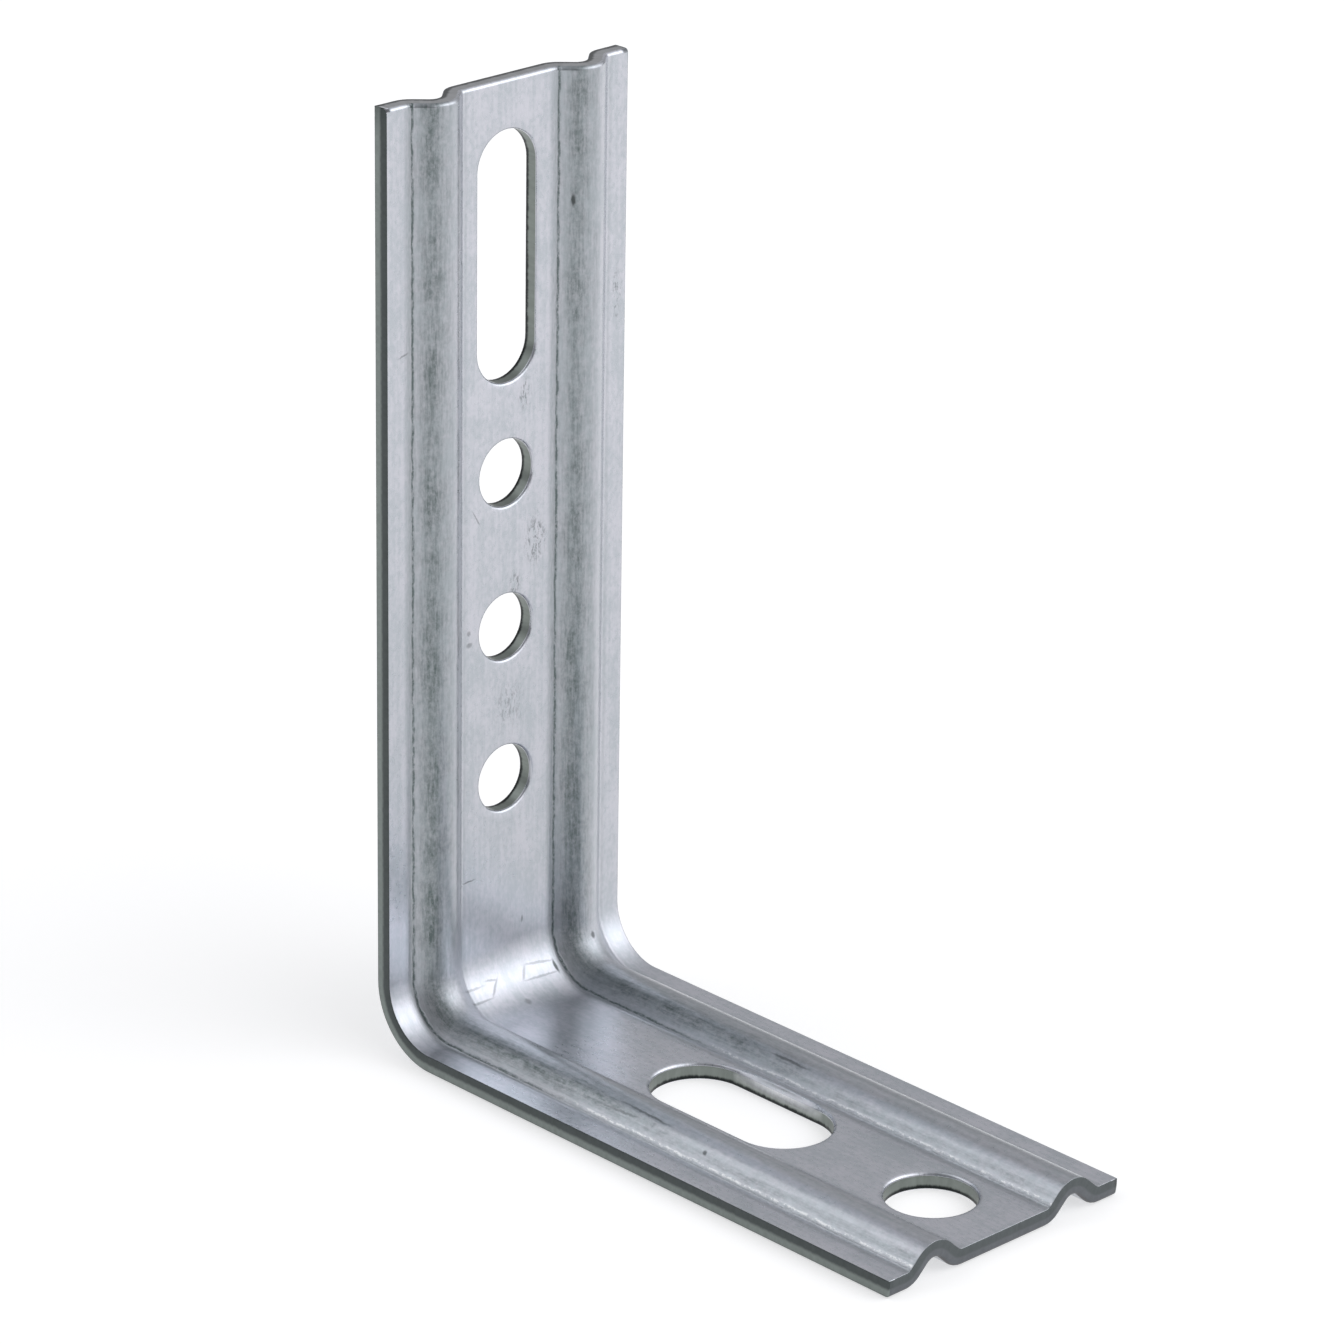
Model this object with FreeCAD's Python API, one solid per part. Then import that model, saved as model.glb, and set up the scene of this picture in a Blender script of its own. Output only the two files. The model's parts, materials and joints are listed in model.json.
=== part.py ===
import FreeCAD, Part
import math
import os

from FreeCAD import Vector

# Adjustable angle bracket, pressed from one strip of zinc-coated steel.
# Two beads run the whole length of the strip, over the fold as well, and stand towards the
# inside of the angle. The web between them carries the holes and slots.
# Millimetres, +Z up. The foot lies on the plane z = 0 and runs along X, the wall leg rises
# from its -X end, and the origin is the middle of the foot's outline. Y is across the strip.

# The strip and its fold
sheet = 2.0
strip_width = 35.0
wall_height = 110.0         # over all, from the foot's underside
foot_length = 80.0          # over all, from the wall leg's back
fold_inner_r = 6.5          # inside the fold, on the flat web

# The beads, measured on the inner face of the sheet
bead_height = 2.3
bead_slope = 43.0           # steepest angle of a bead's side, in degrees
bead_root_r = 0.9           # hollow corner where a bead leaves the flat
bead_crest_r = 3.4          # round top of a bead
margin_flat = 2.75          # flat strip left outside each bead

# Rounding that shearing and punching leave on the sheet
edge_roll = 0.2             # long edges, outer face
end_roll = 0.45             # end cuts: outer face of the foot, inner face of the wall leg
hole_roll = 0.3             # mouths of all holes but the foot's slot, inner face
foot_slot_roll = 0.25       # mouth of the foot's slot, which nearly reaches the beads
punch_travel = 1.0          # how far a punch passes each face of the sheet

# Wall leg: one adjusting slot near the top end and a row of screw holes below it
wall_slot_width = 8.6
wall_slot_length = 28.8
wall_slot_from_end = 5.7    # from the top end to the nearest edge of the slot
wall_hole_d = 7.8
wall_hole_count = 3
wall_hole_pitch = 18.2
wall_hole_from_end = 45.0   # from the top end to the middle of the highest hole

# Foot: one bolt hole near the free end and an adjusting slot between it and the fold
foot_hole_d = 10.2
foot_hole_from_end = 10.8   # from the free end to the middle of the hole
foot_slot_width = 11.3
foot_slot_length = 24.1
foot_slot_from_end = 27.6   # from the free end to the nearest edge of the slot

# Worked out from the sizes above
slope = math.radians(bead_slope)
root_mid_r = bead_root_r + sheet / 2
crest_mid_r = bead_crest_r - sheet / 2
side_rise = bead_height - (root_mid_r + crest_mid_r) * (1 - math.cos(slope))
side_run = side_rise / math.tan(slope)
bead_reach = (root_mid_r + crest_mid_r) * math.sin(slope) + side_run
bead_centre = strip_width / 2 - margin_flat - bead_reach
fold_outer_r = fold_inner_r + sheet
back_x = -foot_length / 2
end_x = foot_length / 2
fold_x = back_x + fold_outer_r

# Names for the two faces of the sheet and for the direction across it
inner_face = 1
outer_face = -1
across_strip = Vector(0, 1, 0)
origin = Vector(0, 0, 0)
same_place = 0.001


# A station is a point of the sheet's middle surface: how far across, how far up, and the
# angle at which the sheet climbs there. The faces lie half a sheet to either side of it.
def on_face(station, face):
    across, up, climb = station
    out = face * sheet / 2
    return Vector(0, across - out * math.sin(climb), up + out * math.cos(climb) + sheet / 2)


# One bead, from its near root over the crest to its far root: three stations for each arc
def bead_arcs(centre):
    near_root = []
    for turn in (0, slope / 2, slope):
        across = centre - bead_reach + root_mid_r * math.sin(turn)
        near_root.append((across, root_mid_r * (1 - math.cos(turn)), turn))
    crest = []
    for turn in (slope, 0, -slope):
        across = centre - crest_mid_r * math.sin(turn)
        crest.append((across, bead_height - crest_mid_r * (1 - math.cos(turn)), turn))
    far_root = [(2 * centre - across, up, -turn) for across, up, turn in reversed(near_root)]
    return [near_root, crest, far_root]


# One face of the strip from edge to edge, as flats and arcs that meet without a corner
def face_edges(face, half_width):
    edges = []
    here = on_face((-half_width, 0, 0), face)
    for centre in (-bead_centre, bead_centre):
        for arc in bead_arcs(centre):
            start, middle, end = [on_face(station, face) for station in arc]
            edges.append(Part.makeLine(here, start))
            edges.append(Part.Arc(start, middle, end).toShape())
            here = end
    edges.append(Part.makeLine(here, on_face((half_width, 0, 0), face)))
    return edges


# A quarter-round between two points, bulging away from its own centre
def quarter_round(start, end, centre):
    radius = (start - centre).Length
    outward = (start + end) * 0.5 - centre
    outward.normalize()
    return Part.Arc(start, centre + outward * radius, end).toShape()


# A long edge of the strip: square at the inner face, rolled over at the outer face
def sheared_edge(hand):
    edge_y = hand * strip_width / 2
    roll_y = edge_y - hand * edge_roll
    roll_top = Vector(0, edge_y, edge_roll)
    square_side = Part.makeLine(Vector(0, edge_y, sheet), roll_top)
    return [square_side, quarter_round(roll_top, Vector(0, roll_y, 0), Vector(0, roll_y, edge_roll))]


def strip_section():
    edges = face_edges(inner_face, strip_width / 2)
    edges += face_edges(outer_face, strip_width / 2 - edge_roll)
    edges += sheared_edge(1) + sheared_edge(-1)
    return Part.Face(Part.Wire(Part.__sortEdges__(edges)))


# Takes a shape that is drawn over the origin and puts it on the foot, so far along X
def on_foot(shape, along):
    placed = shape.copy()
    placed.translate(Vector(along, 0, 0))
    return placed


# Stands a shape that is drawn for the foot up on the wall leg, at the given height
def on_wall(shape, height):
    placed = shape.copy()
    placed.rotate(origin, across_strip, 90)
    placed.translate(Vector(back_x, 0, height))
    return placed


# The beaded strip, folded once: foot, fold and wall leg share one section
def folded_strip():
    section = strip_section()
    foot_start = on_foot(section, fold_x)
    foot = foot_start.extrude(Vector(end_x - fold_x, 0, 0))
    fold = foot_start.revolve(Vector(fold_x, 0, fold_outer_r), across_strip, 90)
    wall_start = on_wall(section, fold_outer_r)
    wall_leg = wall_start.extrude(Vector(0, 0, wall_height - fold_outer_r))
    return foot.fuse([fold, wall_leg]).removeSplitter()


def middle_of(edge):
    return edge.valueAt((edge.FirstParameter + edge.LastParameter) / 2)


# One shear cut parts two brackets, so it rolls over the inner face of the one's wall leg and
# the outer face of the next one's foot
def roll_cut_ends(strip):
    foot_rim = Part.Compound(face_edges(outer_face, strip_width / 2 - edge_roll))
    wall_rim = Part.Compound(face_edges(inner_face, strip_width / 2))
    rims = on_foot(foot_rim, end_x).Edges + on_wall(wall_rim, wall_height).Edges
    rim_middles = [middle_of(edge) for edge in rims]
    sharp = []
    for edge in strip.Edges:
        middle = middle_of(edge)
        if any((middle - rim_middle).Length < same_place for rim_middle in rim_middles):
            sharp.append(edge)
    return strip.makeFillet(end_roll, sharp)


# What a punch takes out: straight through the sheet, and wider at the mouth, where it draws
# the inner face in. Drawn for the foot, with the middle of its slot on the Z axis.
def punch(width, length, roll):
    half = width / 2
    bottom = Vector(0, 0, -punch_travel)
    bottom_side = Vector(0, half, -punch_travel)
    roll_start = Vector(0, half, sheet - roll)
    roll_end = Vector(0, half + roll, sheet)
    top_side = Vector(0, half + roll, sheet + punch_travel)
    top = Vector(0, 0, sheet + punch_travel)
    outline = [
        Part.makeLine(bottom, bottom_side),
        Part.makeLine(bottom_side, roll_start),
        Part.Arc(roll_start, roll_middle(half, roll), roll_end).toShape(),
        Part.makeLine(roll_end, top_side),
        Part.makeLine(top_side, top),
        Part.makeLine(top, bottom),
    ]
    profile = Part.Face(Part.Wire(outline))
    round_end = profile.revolve(origin, Vector(0, 0, 1), 360)
    straight = length - width
    if straight <= 0:
        return round_end
    far_side = profile.extrude(Vector(straight, 0, 0))
    near_side = far_side.mirror(origin, across_strip)
    slot = round_end.fuse([far_side, near_side, on_foot(round_end, straight)]).removeSplitter()
    return on_foot(slot, -straight / 2)


# The middle of a mouth's rounding, a quarter circle that is hollow as seen from the hole
def roll_middle(half, roll):
    inset = roll * (1 - math.cos(math.pi / 4))
    return Vector(0, half + inset, sheet - inset)


def punches():
    wall_slot = punch(wall_slot_width, wall_slot_length, hole_roll)
    screw_hole = punch(wall_hole_d, wall_hole_d, hole_roll)
    foot_slot = punch(foot_slot_width, foot_slot_length, foot_slot_roll)
    foot_hole = punch(foot_hole_d, foot_hole_d, hole_roll)
    tools = [
        on_wall(wall_slot, wall_height - wall_slot_from_end - wall_slot_length / 2),
        on_foot(foot_slot, end_x - foot_slot_from_end - foot_slot_length / 2),
        on_foot(foot_hole, end_x - foot_hole_from_end),
    ]
    highest_hole = wall_height - wall_hole_from_end
    for index in range(wall_hole_count):
        tools.append(on_wall(screw_hole, highest_hole - index * wall_hole_pitch))
    return tools


bracket = roll_cut_ends(folded_strip()).cut(punches())

os.makedirs("parts", exist_ok=True)
bracket.exportStep("parts/angle_bracket.step")

print("valid", bracket.isValid(), "solids", len(bracket.Solids), "volume mm3", round(bracket.Volume, 1))
print("flat web between the beads", round(2 * (bead_centre - bead_reach), 2), "mm wide")
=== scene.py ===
import json
import math
import bmesh
import bpy
from mathutils import Matrix, Vector


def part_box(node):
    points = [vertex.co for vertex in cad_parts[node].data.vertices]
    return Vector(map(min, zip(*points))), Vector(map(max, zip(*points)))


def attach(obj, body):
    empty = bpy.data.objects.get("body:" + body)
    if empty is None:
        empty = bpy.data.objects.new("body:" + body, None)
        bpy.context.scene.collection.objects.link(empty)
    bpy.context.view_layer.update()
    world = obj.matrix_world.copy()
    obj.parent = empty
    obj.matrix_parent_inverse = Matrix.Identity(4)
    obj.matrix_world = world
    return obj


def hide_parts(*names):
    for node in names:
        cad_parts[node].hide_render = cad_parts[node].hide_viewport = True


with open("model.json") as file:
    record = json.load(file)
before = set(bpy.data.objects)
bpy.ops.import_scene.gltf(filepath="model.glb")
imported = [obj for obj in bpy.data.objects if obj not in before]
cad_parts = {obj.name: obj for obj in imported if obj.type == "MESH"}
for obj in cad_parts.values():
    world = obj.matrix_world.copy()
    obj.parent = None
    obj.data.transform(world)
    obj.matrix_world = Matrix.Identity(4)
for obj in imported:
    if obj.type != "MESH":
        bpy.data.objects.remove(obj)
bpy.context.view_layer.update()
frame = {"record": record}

nodeLow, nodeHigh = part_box("angle_bracket")
mounts = {mount["name"]: mount for mount in frame["record"]["mounts"]}
mm = 0.001                                 # the sheet is worked in mm, the frame is in metres
samePoint = 0.0005                         # mm, points nearer than this are one
slack = 0.001                              # mm, for telling where a point or an edge lies
cutSlack = 0.0001                          # mm, a line nearer to a point than this goes through it

# the strip and its shape, in mm and degrees
strip = {
    "sheet": 2.0,
    "foldInnerR": 6.5,
    "beadHeight": 2.3,
    "beadSlope": 43.0,
    "beadRootR": 0.9,
    "beadCrestR": 3.4,
    "marginFlat": 2.75,     # flat strip outside each bead
    "edgeRoll": 0.2,        # long edges, outer face
    "endRoll": 0.45,        # end cuts: outer face of the foot, inner face of the wall leg
    "holeRoll": 0.3,        # mouths of the holes, inner face
    "footSlotRoll": 0.25,
    "edgeBreak": 0.07,      # every edge that has no rounding of its own
    "wallSteps": (0.45, 0.8, 1.1, 1.4),    # heights at which the cut walls are divided
    "dishReach": 1.0,       # the punch draws the face down this far round a hole
    "dishDepth": 0.13,
    "uprightLimit": 0.15,   # how far a cut wall's normal may lean
    "lipSpread": 0.60,      # the foot slot's far side is drawn outwards
    "lipDrop": 0.35,        # and down
    "lipDeep": 1.55,        # from the inner face down
    "lipOver": 0.5,         # past the straight stretch of the slot, at each end
    "lipPower": 1.5,        # how much of the drawing down stays near the inner face
    "lipShow": 1.6,         # how soon below the inner face the drawn finish and its painted highlight give way
}

# how finely the sheet is divided
grid = {
    "webSteps": 16,
    "rootSteps": 4,
    "crestSteps": 10,
    "marginSteps": 3,
    "foldSteps": 48,
    "plainStep": 4.0,       # mm between lines where nothing happens
}

sheet = strip["sheet"]
slope = math.radians(strip["beadSlope"])
rootMidR = strip["beadRootR"] + sheet / 2
crestMidR = strip["beadCrestR"] - sheet / 2
sideRise = strip["beadHeight"] - (rootMidR + crestMidR) * (1 - math.cos(slope))
beadReach = (rootMidR + crestMidR) * math.sin(slope) + sideRise / math.tan(slope)
halfWidth = nodeHigh.y / mm
beadCentre = halfWidth - strip["marginFlat"] - beadReach
webHalf = beadCentre - beadReach
foldOuterR = strip["foldInnerR"] + sheet
foldLength = (foldOuterR - sheet / 2) * math.pi / 2
backX = nodeLow.x / mm
endX = nodeHigh.x / mm
wallTop = nodeHigh.z / mm
footFlat = endX - backX - foldOuterR       # flat stretch of the foot
wallStart = footFlat + foldLength          # where the wall leg's flat stretch begins
blankLength = wallStart + wallTop - foldOuterR


# the flat blank runs along X from the foot's free end, so every hole has a place along it
def alongOf(mountName):
    x, y, z = [value / mm for value in mounts[mountName]["pos_m"]]
    if abs(mounts[mountName]["axis"][2]) > 0.5:
        return endX - x
    return wallStart + z - foldOuterR


def holeList():
    holes = []
    for name in ("foot_hole", "wall_hole_low", "wall_hole_middle", "wall_hole_high"):
        radius = mounts[name]["dims"]["r_mm"]
        holes.append({"name": name, "along": alongOf(name), "radius": radius, "straight": 0.0,
                      "roll": strip["holeRoll"]})
    for name, roll in (("foot_slot", strip["footSlotRoll"]), ("wall_slot", strip["holeRoll"])):
        radius = mounts[name]["dims"]["hole_r_mm"]
        straight = mounts[name]["dims"]["slot_length_mm"] - 2 * radius
        holes.append({"name": name, "along": alongOf(name), "radius": radius, "straight": straight,
                      "roll": roll})
    return sorted(holes, key=lambda hole: hole["along"])


# how high the middle of the sheet stands at a place across the strip, and how steep it is there
def beadShape(across):
    fromCentre = abs(across) - beadCentre
    side = abs(fromCentre)
    if side >= beadReach:
        return 0.0, 0.0
    if side > beadReach - rootMidR * math.sin(slope):
        climb = math.asin((beadReach - side) / rootMidR)
        lift = rootMidR * (1 - math.cos(climb))
    elif side < crestMidR * math.sin(slope):
        climb = math.asin(side / crestMidR)
        lift = strip["beadHeight"] - crestMidR * (1 - math.cos(climb))
    else:
        climb = slope
        past = side - crestMidR * math.sin(slope)
        lift = strip["beadHeight"] - crestMidR * (1 - math.cos(slope)) - past * math.tan(slope)
    rising = -1 if (fromCentre > 0) == (across > 0) else 1
    return lift, rising * climb


def evenly(start, end, steps):
    return [start + (end - start) * step / steps for step in range(steps + 1)]


# lines across the strip: fine in the bead's hollow corners and on its crest
def acrossLines():
    lines = evenly(0, webHalf, grid["webSteps"] // 2)
    rootTurns = evenly(0, slope, grid["rootSteps"])
    crestTurns = evenly(-slope, slope, grid["crestSteps"])
    lines += [webHalf + rootMidR * math.sin(turn) for turn in rootTurns]
    lines += [beadCentre + crestMidR * math.sin(turn) for turn in crestTurns]
    lines += [beadCentre + beadReach - rootMidR * math.sin(turn) for turn in rootTurns]
    lines += evenly(beadCentre + beadReach, halfWidth, grid["marginSteps"])[:-1]
    return [side * line for side in (-1, 1) for line in sorted(set(lines))]


# lines along the strip: fine beside each hole and round the fold
def alongLines(holes):
    corner = grid["webSteps"] // 2
    lines = evenly(footFlat, wallStart, grid["foldSteps"])
    for hole in holes:
        near = hole["along"] - hole["straight"] / 2
        far = hole["along"] + hole["straight"] / 2
        lines += evenly(near - webHalf, near, corner)
        lines += evenly(far, far + webHalf, corner)
        if hole["straight"]:
            lines += evenly(near, far, straightSteps(hole))
    lines = sorted(set([0.0, blankLength] + lines))
    filled = []
    for start, end in zip(lines, lines[1:]):
        filled += evenly(start, end, max(1, math.ceil((end - start) / grid["plainStep"])))[:-1]
    return [line for line in filled if line > 0]


def straightSteps(hole):
    return round(hole["straight"] / (webHalf / (grid["webSteps"] // 2)))


def everything(bm):
    return bm.verts[:] + bm.edges[:] + bm.faces[:]


def cutLines(bm, places, direction):
    for place in places:
        bmesh.ops.bisect_plane(bm, geom=everything(bm), dist=cutSlack,
                               plane_co=direction * place, plane_no=direction)


# the blank's outline, divided where it will be bent, with the holes' outlines let into the web
def flatBlank(bm, holes):
    bmesh.ops.create_grid(bm, x_segments=1, y_segments=1, size=0.5)
    bmesh.ops.scale(bm, vec=(blankLength, 2 * halfWidth, 1), verts=bm.verts[:])
    bmesh.ops.translate(bm, vec=(blankLength / 2, 0, 0), verts=bm.verts[:])
    cutLines(bm, acrossLines(), Vector((0, 1, 0)))
    cutLines(bm, alongLines(holes), Vector((1, 0, 0)))
    for hole in holes:
        letIn(bm, hole)


# a hole: the web's faces there come out, and the gap's rim is drawn in to the hole's outline
def letIn(bm, hole):
    inside = [face for face in bm.faces if inPatch(face.calc_center_median(), hole)]
    bmesh.ops.delete(bm, geom=inside, context="FACES")
    rim = [edge for edge in bm.edges
           if edge.is_boundary and all(inPatch(vert.co, hole) for vert in edge.verts)]
    for reach in (hole["radius"] + dishReach(hole), hole["radius"]):
        drawn = bmesh.ops.extrude_edge_only(bm, edges=rim)
        rim = [item for item in drawn["geom"] if isinstance(item, bmesh.types.BMEdge)]
        for vert in drawn["geom"]:
            if isinstance(vert, bmesh.types.BMVert):
                middle = nearestMiddle(vert.co, hole)
                vert.co = middle + (vert.co - middle).normalized() * reach


def dishReach(hole):
    return min(strip["dishReach"], (webHalf - hole["radius"]) / 2)


def inPatch(place, hole):
    reach = hole["straight"] / 2 + webHalf + slack
    return abs(place.x - hole["along"]) < reach and abs(place.y) < webHalf + slack


def nearestMiddle(place, hole):
    half = hole["straight"] / 2
    return Vector((min(max(place.x, hole["along"] - half), hole["along"] + half), 0, place.z))


# the flat sheet gets its thickness
def thicken(bm):
    grown = bmesh.ops.extrude_face_region(bm, geom=bm.faces[:], use_keep_orig=True)
    raised = [item for item in grown["geom"] if isinstance(item, bmesh.types.BMVert)]
    bmesh.ops.translate(bm, vec=(0, 0, sheet), verts=raised)
    bmesh.ops.recalc_face_normals(bm, faces=bm.faces[:])


def lengthwise(edge):
    return all(abs(abs(vert.co.y) - halfWidth) < slack for vert in edge.verts)


def atEnd(edge, place):
    return all(abs(vert.co.x - place) < slack for vert in edge.verts)


def level(edge, height):
    return all(abs(vert.co.z - height) < slack for vert in edge.verts)


def low(edge):
    return all(vert.co.z < sheet / 2 for vert in edge.verts)


def roundEdges(bm, edges, offset, segments):
    bmesh.ops.bevel(bm, geom=edges, offset=offset, offset_type="OFFSET", affect="EDGES",
                    segments=segments, profile=0.5, material=-1, clamp_overlap=False)


# how far a point is from a hole's wall
def clearance(place, hole):
    return (place - nearestMiddle(place, hole)).length - hole["radius"]


def aroundHole(edge, hole):
    return all(abs(clearance(vert.co, hole)) < slack for vert in edge.verts)


# the end cuts and the punched mouths have a roll on one face and only a broken edge on the other
def rollEdges(bm, holes):
    top, bottom = sheet, 0
    roundEdges(bm, [edge for edge in bm.edges if level(edge, bottom) and atEnd(edge, 0)],
               strip["endRoll"], 5)
    roundEdges(bm, [edge for edge in bm.edges if level(edge, top) and atEnd(edge, blankLength)],
               strip["endRoll"], 5)
    roundEdges(bm, [edge for edge in bm.edges if lengthwise(edge) and low(edge)],
               strip["edgeRoll"], 3)
    for hole in holes:
        mouth = [edge for edge in bm.edges if level(edge, top) and aroundHole(edge, hole)]
        roundEdges(bm, mouth, hole["roll"], 4)
        farSide = [edge for edge in bm.edges if level(edge, bottom) and aroundHole(edge, hole)]
        roundEdges(bm, farSide, strip["edgeBreak"], 1)
    roundEdges(bm, [edge for edge in bm.edges if level(edge, top) and lengthwise(edge)],
               strip["edgeBreak"], 2)
    roundEdges(bm, [edge for edge in bm.edges if level(edge, top) and atEnd(edge, 0)],
               strip["edgeBreak"], 2)
    roundEdges(bm, [edge for edge in bm.edges if level(edge, bottom) and atEnd(edge, blankLength)],
               strip["edgeBreak"], 2)


# the punch draws the inner face down round each hole, and most beside the foot slot's far side
def drawDown(bm, holes):
    drawnLipAndSheen = bm.verts.layers.float.new("drawnLipAndSheen")     # how far each point belongs to the drawn side, which shows a lighter finish with a painted highlight
    for hole in holes:
        drawn = hole["name"] == "foot_slot"
        besideHole = webHalf - hole["radius"]
        for vert in bm.verts:
            clear = clearance(vert.co, hole)
            if vert.co.z > sheet / 2 and -slack < clear < dishReach(hole) - slack:
                vert.co.z -= strip["dishDepth"] * (1 - clear / dishReach(hole))
            if drawn and vert.co.y > 0 and -slack < clear < besideHole - slack:
                vert[drawnLipAndSheen] = pullLip(vert, hole)


# the foot slot's far side is drawn most in its middle and at the inner face
def pullLip(vert, hole):
    fromMiddle = abs(vert.co.x - hole["along"]) / (hole["straight"] / 2 + strip["lipOver"])
    height = (vert.co.z - sheet + strip["lipDeep"]) / strip["lipDeep"]
    if fromMiddle >= 1 or height <= 0:
        return 0.0
    pull = math.sqrt(1 - fromMiddle ** 2) * min(1.0, height) ** strip["lipPower"]
    spare = 1 - (vert.co.y - hole["radius"]) / (webHalf - hole["radius"])
    vert.co.y += strip["lipSpread"] * pull * spare
    vert.co.z -= strip["lipDrop"] * pull * spare
    # what is returned is how much of the drawn finish and painted highlight the point shows
    return math.sqrt(1 - fromMiddle ** 2) * min(1.0, strip["lipShow"] * height)


# the flat sheet is beaded and folded: foot, fold and wall leg
def sheetForm(bm):
    for vert in bm.verts:
        along, across, depth = vert.co
        lift, climb = beadShape(across)
        out = depth - sheet / 2
        y = across - out * math.sin(climb)
        height = lift + out * math.cos(climb) + sheet / 2
        if along <= footFlat:
            vert.co = (endX - along, y, height)
        elif along >= wallStart:
            vert.co = (backX + height, y, foldOuterR + along - wallStart)
        else:
            turn = (along - footFlat) / foldLength * math.pi / 2
            radius = foldOuterR - height
            vert.co = (backX + foldOuterR - radius * math.sin(turn), y,
                       foldOuterR - radius * math.cos(turn))


# a node with its plain values and its links, both by socket name
def add(tree, kind, values=None, links=None, **settings):
    made = tree.nodes.new(kind)
    for name, value in settings.items():
        setattr(made, name, value)
    for name, value in (values or {}).items():
        made.inputs[name].default_value = value
    for name, source in (links or {}).items():
        join(tree, source, made.inputs[name])
    return made


# a socket takes a plain value, another socket or a node's first output
def join(tree, source, socket):
    if isinstance(source, bpy.types.Node):
        source = source.outputs[0]
    if isinstance(source, bpy.types.NodeSocket):
        tree.links.new(source, socket)
    elif source is not None:
        socket.default_value = source


def maths(tree, operation, *values):
    made = add(tree, "ShaderNodeMath", operation=operation)
    for socket, value in zip(made.inputs, values):
        join(tree, value, socket)
    return made


# a smooth step from low to high as the value goes from start to end
def ramp(tree, value, start, end, low=0.0, high=1.0):
    limits = {"From Min": start, "From Max": end, "To Min": low, "To Max": high}
    return add(tree, "ShaderNodeMapRange", limits, {"Value": value},
               interpolation_type="SMOOTHSTEP")


def blendColours(tree, amount, first, second, how="MIX"):
    made = add(tree, "ShaderNodeMix", data_type="RGBA", blend_type=how)
    for index, value in ((0, amount), (6, first), (7, second)):
        join(tree, value, made.inputs[index])
    return made.outputs[2]


def noise(tree, place, stretch, detail=3.0, roughness=0.5, seed=0.0):
    moved = add(tree, "ShaderNodeMapping",
                {"Scale": stretch, "Location": (seed, seed * 1.7, seed * 0.6)}, {"Vector": place})
    return add(tree, "ShaderNodeTexNoise", {"Scale": 1.0, "Detail": detail, "Roughness": roughness},
               {"Vector": moved})


def newMaterial(name):
    material = bpy.data.materials.new(name)
    material.use_nodes = True
    material.node_tree.nodes.clear()
    return material, material.node_tree


# 1 while a value is within half of a centre, and 0 beyond a soft border
def band(tree, value, centre, half, soft):
    away = maths(tree, "ABSOLUTE", maths(tree, "SUBTRACT", value, centre))
    return ramp(tree, away, half - soft / 2, half + soft / 2, 1.0, 0.0)


# where a point lay in the flat sheet, in mm: along the strip, across it, and from the outer face
def sheetPlace(tree):
    place = add(tree, "ShaderNodeAttribute", attribute_name="sheetPlace").outputs["Vector"]
    axes = add(tree, "ShaderNodeSeparateXYZ", links={"Vector": place})
    return place, axes.outputs["X"], axes.outputs["Y"], axes.outputs["Z"]


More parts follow.
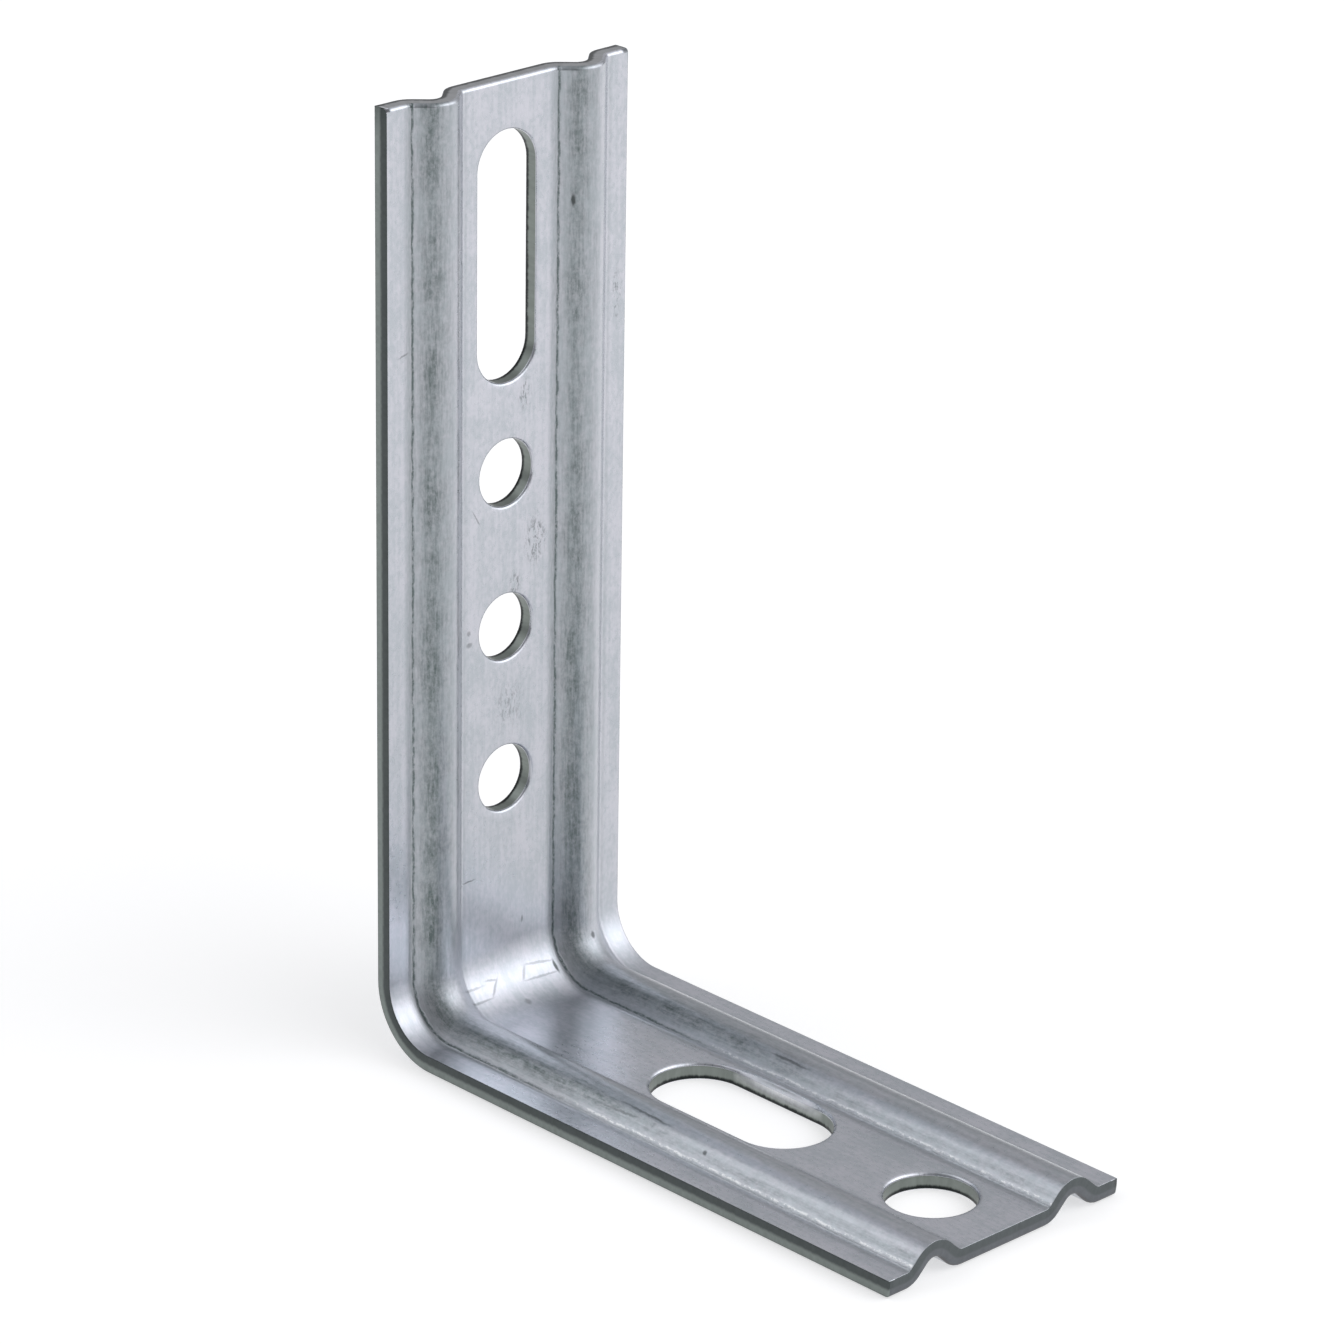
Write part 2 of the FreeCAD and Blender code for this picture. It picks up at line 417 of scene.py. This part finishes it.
# the zinc-coated faces of the sheet
zinc = {
    "bright": (0.622, 0.624, 0.674, 1.0),
    "dull": (0.502, 0.532, 0.568, 1.0),
    "rubbed": (0.130, 0.162, 0.160, 1.0),
    # the dark of the marks and specks, and of the painted shade
    "markAndShade": (0.075, 0.085, 0.085, 1.0),
    # near white, for the painted highlight along the drawn line's ridge on the foot
    "ridgeHighlight": (0.900, 0.905, 0.900, 1.0),
    "roughness": 0.29,
    "rubbedRoughness": 0.40,
    "foldRoughness": 0.15,      # added where the sheet was folded
    "relief": 0.00002,          # m, height of the grain
    # how far the beading rolls rubbed the coat, by mm from a bead's middle: (place, amount)
    "rub": ((-4.6, 0.0), (-4.1, 0.22), (-3.4, 0.34), (-3.0, 0.38), (-2.5, 0.30), (-2.0, 0.48),
            (-1.5, 0.62), (-1.1, 0.58), (-0.5, 0.40), (0.2, 0.30), (0.9, 0.08), (3.9, 0.0),
            (4.3, 0.14), (4.7, 0.0)),
    "footRub": 0.35,            # what is left of the middle of the rub near the foot's free end
    "footRubBand": (-1.0, 0.8, 0.9),       # that middle: centre, half width and soft border
    "footRubFade": (28, 52),    # mm along the strip, where it gives way to the full rub
    "lowRub": 0.09,             # the coat is duller low on the wall leg
    "lowRubStart": (82, 90),    # mm along the strip
    "lowRubEnd": (105, 160),
    # the thin line that the rolls drew along each bead, and beside it a painted highlight where the
    # line's ridge catches the light on the foot
    "linePlace": -2.88,
    "lineHalf": 0.16,
    "lineBorder": 0.24,
    "lineRise": 1.8,            # times the relief
    "lineFade": (48, 62),       # mm along the strip, where the dark line grows full
    "besideBand": (-2.64, 0.10, 0.20),
    "besideFade": (46, 62),     # mm along the strip, where the painted highlight beside the line ends
    "waver": 0.09,              # mm, how far the rubbed bands and lines wander
    "waverSpread": (0.2, 0.8),
    "outerRub": 0.25,           # how much of all this shows on the outer face
    "foldPast": 3,              # mm, how far the rougher coat goes past the fold
    "foldBorder": 12,
    "innerBorder": (0.9, 1.3),  # mm from the outer face, where the inner face's finish begins
    # each pattern is spread out between two of its values, and what it gives is between two more
    "hairSpread": (0.32, 0.66),
    "hairRub": (0.84, 1.16),
    "fleckSpread": (0.32, 0.66),
    "fleckRub": (0.80, 1.22),
    "cloudSpread": (0.35, 0.65),
    "cloudRub": (0.84, 1.16),
    "darkSpread": (0.34, 0.60),
    "darkLine": (0.50, 1.0),
    "darkOnFoot": 0.35,         # how much of the dark line is left there
    "besideSpread": (0.44, 0.58),
    "besideMost": 0.62,
    "cloudShare": 0.45,         # how much each pattern adds to the coat's unevenness
    "streakShare": 0.35,
    "grainShare": 0.45,
    "brightSpread": (0.50, 0.76),
    "grainSpread": (0.3, 0.7),
    "grainGloss": (-0.025, 0.03),
    "hairRise": 0.3,            # times the relief
    "speckSpread": (0.50, 0.61),
    "speckMost": 0.85,
    "patchBorder": (0.3, 1.3),  # of a patch's half length and half width
    "markBorder": (0.45, 1.35),
    "markShift": (0.35, 0.25, 0.0),        # mm, how far the grain pulls a mark's border about
}

# small marks and painted shade on the inner face: along, across, length, width (mm), turn
# (degrees), strength
marksAndShade = {
    "scratchLow": (92.3, -5.6, 2.0, 0.20, 88, 0.55),
    "spotFold": (74.3, -0.2, 1.1, 0.8, 0, 0.40),
    "tickFold": (85.3, 2.5, 0.9, 0.35, 10, 0.45),
    "spotNearA": (120.9, -5.6, 0.9, 0.6, 90, 0.45),
    "spotNearB": (122.3, -5.7, 0.7, 0.6, 0, 0.45),
    "nickCrest": (80.1, 11.0, 1.5, 0.5, 0, 0.75),
    "nickHigh": (169.8, 8.9, 1.6, 0.35, 0, 0.95),
    "hookHigh": (135.6, -4.6, 2.2, 0.22, -30, 0.45),
    "flangeMark": (156.9, -15.1, 1.6, 0.25, 75, 0.45),
    # the fold's dents: tool marks drawn as dark outlines, which paint the shade at their edges
    "dentFarLeft": (77.1, 3.8, 5.6, 0.36, 94, 0.36),
    "dentFarRight": (78.9, 4.3, 4.6, 0.36, 100, 0.36),
    "dentFarEnd": (78.3, 1.6, 2.3, 0.42, 30, 0.38),
    "dentFarTop": (77.7, 6.2, 2.0, 0.42, 0, 0.90),
    "dentNearLeft": (76.65, -6.2, 4.8, 0.38, 90, 0.40),
    "dentNearRight": (78.6, -6.6, 4.6, 0.38, 90, 0.36),
    "dentNearTop": (77.9, -3.0, 3.0, 0.36, 38, 0.44),
    "dentNearHook": (78.9, -3.1, 2.0, 0.34, 100, 0.36),
    # painted shade on the near bead's slope by the fold, where the wall leg is reflected; then
    # darker along the far bead's far slope on the foot
    "shadeFold": (61.0, -12.8, 24.0, 2.0, 0, 0.28),
    "shadeFar": (32.0, 12.9, 84.0, 4.6, 0, 0.13),
    "scratchFootA": (42.0, -11.6, 8.0, 0.22, 1, 0.6),
    "scratchFootB": (45.0, -12.2, 5.0, 0.20, -2, 0.5),
    "scratchFootC": (41.0, 9.4, 6.0, 0.22, 0, 0.6),
    "speckFoot": (32.0, -12.3, 0.6, 0.35, 0, 0.8),
}

# where the coat is speckled, in the same terms
patches = {
    "upperWeb": (131.0, 4.2, 6.0, 3.4, 0, 0.8),
    "betweenHoles": (126.6, 1.2, 3.0, 1.8, 0, 0.7),
    "highWeb": (148.5, 2.5, 4.0, 2.0, 0, 0.7),
    "farFlange": (157.0, 16.2, 7.0, 1.4, 0, 0.7),
    "lowWeb": (112.0, 0.5, 7.0, 5.0, 0, 0.4),
    "nearBeadLow": (104.5, -8.5, 4.0, 1.6, 0, 0.7),
    "nearBeadHigh": (124.0, -8.5, 4.0, 1.6, 0, 0.7),
}

# the coat's patterns: how they are stretched along, across and through the sheet
patterns = {
    "cloud": {"stretch": (0.22, 0.32, 0.3), "detail": 4.0, "roughness": 0.62},
    "grain": {"stretch": (1.3, 1.9, 1.5), "detail": 3.0, "roughness": 0.55, "seed": 5.0},
    "streaks": {"stretch": (0.035, 1.6, 0.6), "detail": 5.0, "roughness": 0.62, "seed": 3.0},
    "hairs": {"stretch": (0.30, 5.0, 1.0), "detail": 3.0, "roughness": 0.6, "seed": 8.0},
    "flecks": {"stretch": (1.3, 3.6, 1.0), "detail": 4.0, "roughness": 0.75, "seed": 11.0},
    "waver": {"stretch": (0.25, 0.25, 0.25), "detail": 4.0, "roughness": 0.6, "seed": 2.0},
    "drag": {"stretch": (1.6, 1.6, 0.4), "detail": 3.0, "roughness": 0.6, "seed": 4.0},
}


# the strongest spot at each point: every spot is an ellipse on the sheet, with a soft border
def spotAmount(tree, place, spots, border):
    total = 0.0
    for along, across, length, width, turn, strength in spots.values():
        local = add(tree, "ShaderNodeMapping",
                    {"Location": (along, across, sheet), "Rotation": (0, 0, math.radians(turn)),
                     "Scale": (length / 2, width / 2, sheet)},
                    {"Vector": place}, vector_type="TEXTURE")
        reach = add(tree, "ShaderNodeVectorMath", links={0: local}, operation="LENGTH")
        spot = ramp(tree, reach.outputs["Value"], *border, strength, 0.0)
        total = maths(tree, "MAXIMUM", total, spot)
    return total


# a soft curve through (place, amount) pairs
def curve(tree, value, pairs):
    low, high = pairs[0][0], pairs[-1][0]
    made = add(tree, "ShaderNodeValToRGB", links={"Fac": ramp(tree, value, low, high)})
    made.inputs["Fac"].links[0].from_node.interpolation_type = "LINEAR"
    stops = made.color_ramp.elements
    while len(stops) < len(pairs):
        stops.new(0.5)
    for stop, (place, amount) in zip(stops, pairs):
        stop.position = (place - low) / (high - low)
        stop.color = (amount, amount, amount, 1.0)
    return made


# the distance from the nearer bead's middle, in mm, which wavers a little along the strip
def beadDistance(tree, along, across):
    middle = maths(tree, "MULTIPLY", maths(tree, "SIGN", across), beadCentre)
    waver = noise(tree, along, **patterns["waver"])
    fromBead = maths(tree, "SUBTRACT", across, middle)
    return maths(tree, "ADD", fromBead,
                 ramp(tree, waver, *zinc["waverSpread"], -zinc["waver"], zinc["waver"]))


# how far the rolls rubbed the coat: unevenly, less on the foot, and a little all over the
# wall leg's lower end
def rubbing(tree, fromBead, along, cloud, hairs, flecks):
    rub = curve(tree, fromBead, zinc["rub"])
    spared = maths(tree, "MULTIPLY", band(tree, fromBead, *zinc["footRubBand"]),
                   ramp(tree, along, *zinc["footRubFade"], 1 - zinc["footRub"], 0.0))
    rub = maths(tree, "MULTIPLY", rub, maths(tree, "SUBTRACT", 1.0, spared))
    patchy = maths(tree, "MULTIPLY", ramp(tree, hairs, *zinc["hairSpread"], *zinc["hairRub"]),
                   ramp(tree, flecks, *zinc["fleckSpread"], *zinc["fleckRub"]))
    patchy = maths(tree, "MULTIPLY", patchy,
                   ramp(tree, cloud, *zinc["cloudSpread"], *zinc["cloudRub"]))
    rub = maths(tree, "MULTIPLY", rub, patchy)
    low = maths(tree, "MULTIPLY", ramp(tree, along, *zinc["lowRubStart"]),
                ramp(tree, along, *zinc["lowRubEnd"], 1.0, 0.0))
    return maths(tree, "ADD", rub, maths(tree, "MULTIPLY", low, zinc["lowRub"]))


# what the rolls drew beside each bead: a line that is dark on the wall leg, and next to it on the
# foot a painted highlight where the line's ridge catches the light
def drawLines(tree, fromBead, along, flecks):
    line = band(tree, fromBead, zinc["linePlace"], zinc["lineHalf"], zinc["lineBorder"])
    line = maths(tree, "MULTIPLY", line, ramp(tree, flecks, *zinc["darkSpread"], *zinc["darkLine"]))
    dark = maths(tree, "MULTIPLY", line,
                 ramp(tree, along, *zinc["lineFade"], zinc["darkOnFoot"], 1.0))
    # painted highlight beside the line, only on the foot
    bright = maths(tree, "MULTIPLY", band(tree, fromBead, *zinc["besideBand"]),
                   ramp(tree, flecks, *zinc["besideSpread"]))
    bright = maths(tree, "MULTIPLY", bright,
                   ramp(tree, along, *zinc["besideFade"], zinc["besideMost"], 0.0))
    return line, dark, bright


# the borders of the marks and of the painted shade are made ragged by moving each point a little
# with the grain
def markAndShadeAmount(tree, place, grain):
    ragged = add(tree, "ShaderNodeVectorMath", {1: (0.5, 0.5, 0.5)}, {0: grain.outputs["Color"]},
                 operation="SUBTRACT")
    moved = add(tree, "ShaderNodeVectorMath", {1: zinc["markShift"]}, {0: ragged},
                operation="MULTIPLY")
    moved = add(tree, "ShaderNodeVectorMath", links={0: place, 1: moved}, operation="ADD")
    return spotAmount(tree, moved, marksAndShade, zinc["markBorder"])


def zincSkin():
    material, tree = newMaterial("zincSkin")
    place, along, across, depth = sheetPlace(tree)
    inside = ramp(tree, depth, *zinc["innerBorder"])
    cloud = noise(tree, place, **patterns["cloud"])
    grain = noise(tree, place, **patterns["grain"])
    streaks = noise(tree, place, **patterns["streaks"])
    hairs = noise(tree, place, **patterns["hairs"])
    flecks = noise(tree, place, **patterns["flecks"])

    fromBead = beadDistance(tree, along, across)
    rub = rubbing(tree, fromBead, along, cloud, hairs, flecks)
    line, darkLine, ridgeHighlightLine = drawLines(tree, fromBead, along, flecks)
    rub = maths(tree, "MULTIPLY", maths(tree, "MAXIMUM", rub, darkLine),
                ramp(tree, inside, 0.0, 1.0, zinc["outerRub"], 1.0))

    even = maths(tree, "ADD", maths(tree, "MULTIPLY", cloud, zinc["cloudShare"]),
                 maths(tree, "MULTIPLY", streaks, zinc["streakShare"]))
    even = maths(tree, "ADD", even, maths(tree, "MULTIPLY", grain, zinc["grainShare"]))
    colour = blendColours(tree, ramp(tree, even, *zinc["brightSpread"]), zinc["dull"],
                          zinc["bright"])
    colour = blendColours(tree, rub, colour, zinc["rubbed"])
    # painted highlight along the drawn line's ridge
    colour = blendColours(tree, maths(tree, "MULTIPLY", ridgeHighlightLine, inside), colour,
                          zinc["ridgeHighlight"])
    # marks, and painted shade for the shade spots and the dents' outlines; both also lower the
    # relief
    dark = maths(tree, "MULTIPLY", markAndShadeAmount(tree, place, grain), inside)
    specks = maths(tree, "MULTIPLY",
                   ramp(tree, flecks, *zinc["speckSpread"], 0.0, zinc["speckMost"]),
                   spotAmount(tree, place, patches, zinc["patchBorder"]))
    colour = blendColours(tree, maths(tree, "MAXIMUM", dark, specks), colour, zinc["markAndShade"])

    folded = band(tree, along, footFlat + foldLength / 2, foldLength / 2 + zinc["foldPast"],
                  zinc["foldBorder"])
    gloss = maths(tree, "ADD",
                  ramp(tree, rub, 0.0, 1.0, zinc["roughness"], zinc["rubbedRoughness"]),
                  ramp(tree, grain, *zinc["grainSpread"], *zinc["grainGloss"]))
    gloss = maths(tree, "ADD", gloss, maths(tree, "MULTIPLY", folded, zinc["foldRoughness"]))
    height = maths(tree, "ADD", grain, maths(tree, "MULTIPLY", hairs, zinc["hairRise"]))
    height = maths(tree, "ADD", height, maths(tree, "MULTIPLY", line, zinc["lineRise"]))
    height = maths(tree, "SUBTRACT", height, dark)
    bump = add(tree, "ShaderNodeBump", {"Strength": 1.0, "Distance": zinc["relief"]},
               {"Height": height})
    shader = add(tree, "ShaderNodeBsdfPrincipled", {"Metallic": 1.0},
                 {"Base Color": colour, "Roughness": gloss, "Normal": bump})
    add(tree, "ShaderNodeOutputMaterial", links={"Surface": shader})
    return material


# the cut walls of the holes, ends and long edges
cut = {
    "hole": (0.213, 0.236, 0.220, 1.0),
    # near black: the fracture zone at the exit side of the cut walls, with painted shade where it
    # flares and faces away from the light
    "holeExitAndShade": (0.022, 0.026, 0.026, 1.0),
    # the foot slot's drawn far side: a lighter finish, with a painted highlight on it
    "drawnLipAndSheen": (0.850, 0.860, 0.875, 1.0),
    "sideOuter": (0.200, 0.226, 0.216, 1.0),
    "sideInner": (0.070, 0.080, 0.080, 1.0),
    "sideCorner": (0.110, 0.126, 0.122, 1.0),
    "footEndUpper": (0.100, 0.112, 0.115, 1.0),
    "footEndLower": (0.135, 0.144, 0.155, 1.0),
    # painted shade: a thin dark line along the foot end's bottom edge, where it meets the floor
    "footEndShadeLine": (0.125, 0.125, 0.130, 1.0),
    "topEndInner": (0.420, 0.425, 0.435, 1.0),
    "topEndOuter": (0.120, 0.125, 0.126, 1.0),
    "patchy": (1.16, 1.16, 1.16, 1.0),
    "roughness": 0.42,
    "ragged": 0.07,         # mm, how far the bands' borders wander
    "dragSpread": (0.3, 0.7),
    "pastRoll": 0.01,       # mm, how far a finish goes past the roll that it belongs to
    "topEndReach": 0.2,     # mm along the strip
    # where one band passes into the next, in mm from the outer face
    "exitBorder": (0.28, 0.62),
    "sideBorder": (0.75, 1.25),
    "cornerBorder": (0.08, 0.28),
    "footEndBorder": (0.85, 1.15),
    "footEndShadeLineBorder": (0.10, 0.30),
    "topEndBorder": (0.40, 0.75),
}


def cutSteel():
    material, tree = newMaterial("cutSteel")
    place, along, across, depth = sheetPlace(tree)
    drag = noise(tree, place, **patterns["drag"])
    ragged = maths(tree, "ADD", depth,
                   ramp(tree, drag, *cut["dragSpread"], -cut["ragged"], cut["ragged"]))

    def bands(height, border, outer, inner):
        return blendColours(tree, ramp(tree, height, *cut[border]), outer, inner)

    # the foot slot's drawn far side is lightened: partly its finish, partly a painted highlight
    drawnLipAndSheen = add(tree, "ShaderNodeAttribute", attribute_name="drawnLipAndSheen").outputs["Fac"]
    colour = blendColours(tree, drawnLipAndSheen, cut["hole"], cut["drawnLipAndSheen"])
    # fracture zone and painted shade at the exit side
    colour = bands(ragged, "exitBorder", cut["holeExitAndShade"], colour)
    footEnd = bands(ragged, "footEndBorder", cut["footEndLower"], cut["footEndUpper"])
    # painted shade along the foot end's bottom edge
    footEnd = bands(depth, "footEndShadeLineBorder", cut["footEndShadeLine"], footEnd)
    topEnd = bands(ragged, "topEndBorder", cut["topEndOuter"], cut["topEndInner"])
    side = bands(ragged, "sideBorder", cut["sideOuter"], cut["sideInner"])
    side = bands(depth, "cornerBorder", cut["sideCorner"], side)

    atFootEnd = maths(tree, "LESS_THAN", along, strip["endRoll"] + cut["pastRoll"])
    atTopEnd = maths(tree, "GREATER_THAN", along, blankLength - cut["topEndReach"])
    atSide = maths(tree, "GREATER_THAN", maths(tree, "ABSOLUTE", across),
                   halfWidth - strip["edgeRoll"] - cut["pastRoll"])
    colour = blendColours(tree, atFootEnd, colour, footEnd)
    colour = blendColours(tree, atTopEnd, colour, topEnd)
    colour = blendColours(tree, atSide, colour, side)
    colour = blendColours(tree, ramp(tree, drag, *cut["dragSpread"]), colour, cut["patchy"],
                          how="MULTIPLY")
    shader = add(tree, "ShaderNodeBsdfPrincipled", {"Metallic": 1.0, "Roughness": cut["roughness"]},
                 {"Base Color": colour})
    add(tree, "ShaderNodeOutputMaterial", links={"Surface": shader})
    return material


# cut walls, long edges and the foot's end have the second finish
def chooseFinishes(bm):
    bm.normal_update()
    for face in bm.faces:
        middle = face.calc_center_median()
        upright = abs(face.normal.z) < strip["uprightLimit"]
        side = abs(middle.y) > halfWidth - strip["edgeRoll"]
        footEnd = middle.x < strip["endRoll"] and middle.z < sheet - strip["edgeBreak"] / 2
        face.material_index = 1 if upright or side or footEnd else 0


# the materials follow the flat sheet, so each point keeps its place there
def keepPlaces(bm):
    place = bm.verts.layers.float_vector.new("sheetPlace")
    for vert in bm.verts:
        vert[place] = vert.co


def makeBracket():
    bm = bmesh.new()
    holes = holeList()
    flatBlank(bm, holes)
    thicken(bm)
    rollEdges(bm, holes)
    cutLines(bm, strip["wallSteps"], Vector((0, 0, 1)))
    chooseFinishes(bm)
    drawDown(bm, holes)
    keepPlaces(bm)
    sheetForm(bm)
    bmesh.ops.remove_doubles(bm, verts=bm.verts[:], dist=samePoint)
    bmesh.ops.scale(bm, vec=(mm, mm, mm), verts=bm.verts[:])
    bmesh.ops.recalc_face_normals(bm, faces=bm.faces[:])
    mesh = bpy.data.meshes.new("bracketSheet")
    bm.to_mesh(mesh)
    bm.free()
    mesh.shade_smooth()
    piece = bpy.data.objects.new("bracketSheet", mesh)
    bpy.context.scene.collection.objects.link(piece)
    mesh.materials.append(zincSkin())
    mesh.materials.append(cutSteel())
    even = piece.modifiers.new("evenShading", "WEIGHTED_NORMAL")
    even.keep_sharp = True
    return piece


bracketSheet = makeBracket()
print("bracket:", len(bracketSheet.data.vertices), "vertices and",
      len(bracketSheet.data.polygons), "faces")

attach(bracketSheet, "root")
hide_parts("angle_bracket")


# what is seen: a long lens from the front right, a little above
view = {
    "target": (-5.1, -6.29, 53.2),         # mm
    "distance": 635.8,                     # mm
    "azimuth": 45.84,
    "elevation": 22.22,
    "roll": 0.92,
    "lens": 160.36,
}


# the direction at an azimuth and an elevation: azimuth 0 is towards -Y, and 90 is towards +X
def towards(azimuth, elevation):
    turn, rise = math.radians(azimuth), math.radians(elevation)
    return Vector((math.sin(turn) * math.cos(rise), -math.cos(turn) * math.cos(rise),
                   math.sin(rise)))


def makeCamera():
    back = towards(view["azimuth"], view["elevation"])
    data = bpy.data.cameras.new("camera")
    data.lens = view["lens"]
    data.sensor_width = 36
    data.clip_end = 20
    camera = bpy.data.objects.new("camera", data)
    bpy.context.scene.collection.objects.link(camera)
    facing = back.to_track_quat("Z", "Y").to_matrix().to_4x4()
    place = Matrix.Translation((Vector(view["target"]) + back * view["distance"]) * mm)
    camera.matrix_world = place @ facing @ Matrix.Rotation(math.radians(view["roll"]), 4, "Z")
    bpy.context.scene.camera = camera


makeCamera()
print("camera:", view["distance"], "mm away, lens", view["lens"])


# a plain white floor under broad soft glows
studio = {
    "floorColour": (0.62, 0.62, 0.62, 1.0),
    "floorSize": 12.0,      # m
    "floorDrop": 0.0001,    # m, a hair below the bracket
    "floorLift": 0.53,      # added where the camera or a reflection sees the floor, so it is white
    "skyColour": (0.985, 0.992, 1.020, 1.0),
    "skyLow": 0.22,
    "skyHigh": 0.26,
}
# each glow is as bright as its radiance in the middle, and half as bright at its half angle
glows = {
    "backRight": {"azimuth": 126, "elevation": 34, "half": 17, "radiance": 1.8},
    "back": {"azimuth": 160, "elevation": 34, "half": 15, "radiance": 0.60},
    "backHigh": {"azimuth": 188, "elevation": 50, "half": 16, "radiance": 0.5},
    "backLow": {"azimuth": 146, "elevation": 12, "half": 20, "radiance": 1.35},
    "right": {"azimuth": 87, "elevation": 34, "half": 15, "radiance": 1.3},
    "rightLow": {"azimuth": 100, "elevation": 8, "half": 18, "radiance": 0.55},
    "high": {"azimuth": 130, "elevation": 60, "half": 20, "radiance": 0.7},
    "left": {"azimuth": 306, "elevation": 34, "half": 18, "radiance": 1.0},
    "leftHigh": {"azimuth": 300, "elevation": 60, "half": 15, "radiance": 0.95},
    "backLeft": {"azimuth": 231, "elevation": 34, "half": 15, "radiance": 0.30},
    "backLeftLow": {"azimuth": 216, "elevation": 8, "half": 18, "radiance": 0.22},
}


def makeFloor():
    bm = bmesh.new()
    bmesh.ops.create_grid(bm, x_segments=1, y_segments=1, size=studio["floorSize"] / 2)
    mesh = bpy.data.meshes.new("floor")
    bm.to_mesh(mesh)
    bm.free()
    floor = bpy.data.objects.new("floor", mesh)
    floor.location.z = -studio["floorDrop"]
    bpy.context.scene.collection.objects.link(floor)
    material, tree = newMaterial("floorPaint")
    ray = add(tree, "ShaderNodeLightPath")
    seen = maths(tree, "MAXIMUM", ray.outputs["Is Camera Ray"], ray.outputs["Is Glossy Ray"])
    shader = add(tree, "ShaderNodeBsdfPrincipled",
                 {"Base Color": studio["floorColour"], "Roughness": 0.8, "Specular IOR Level": 0.0,
                  "Emission Color": (1.0, 1.0, 1.0, 1.0)},
                 {"Emission Strength": maths(tree, "MULTIPLY", seen, studio["floorLift"])})
    add(tree, "ShaderNodeOutputMaterial", links={"Surface": shader})
    mesh.materials.append(material)


def makeWorld():
    world = bpy.data.worlds.new("studio")
    world.use_nodes = True
    tree = world.node_tree
    tree.nodes.clear()
    direction = add(tree, "ShaderNodeTexCoord").outputs["Generated"]
    height = add(tree, "ShaderNodeSeparateXYZ", links={"Vector": direction}).outputs["Z"]
    total = ramp(tree, height, 0.1, 0.9, studio["skyLow"], studio["skyHigh"])
    for glow in glows.values():
        total = maths(tree, "ADD", total, glowLight(tree, direction, glow))
    light = add(tree, "ShaderNodeBackground", links={"Strength": total})
    light.inputs["Color"].default_value = studio["skyColour"]
    add(tree, "ShaderNodeOutputWorld", links={"Surface": light})
    bpy.context.scene.world = world


def glowLight(tree, direction, glow):
    middle = towards(glow["azimuth"], glow["elevation"])
    facing = add(tree, "ShaderNodeVectorMath", {1: middle}, {0: direction},
                 operation="DOT_PRODUCT")
    falloff = math.log(2) / (1 - math.cos(math.radians(glow["half"])))
    away = maths(tree, "MULTIPLY", maths(tree, "SUBTRACT", 1.0, facing.outputs["Value"]), -falloff)
    return maths(tree, "MULTIPLY", maths(tree, "EXPONENT", away), glow["radiance"])


makeFloor()
makeWorld()
print("studio:", len(glows), "glows over a white floor")
bpy.context.scene.view_settings.view_transform = "Standard"
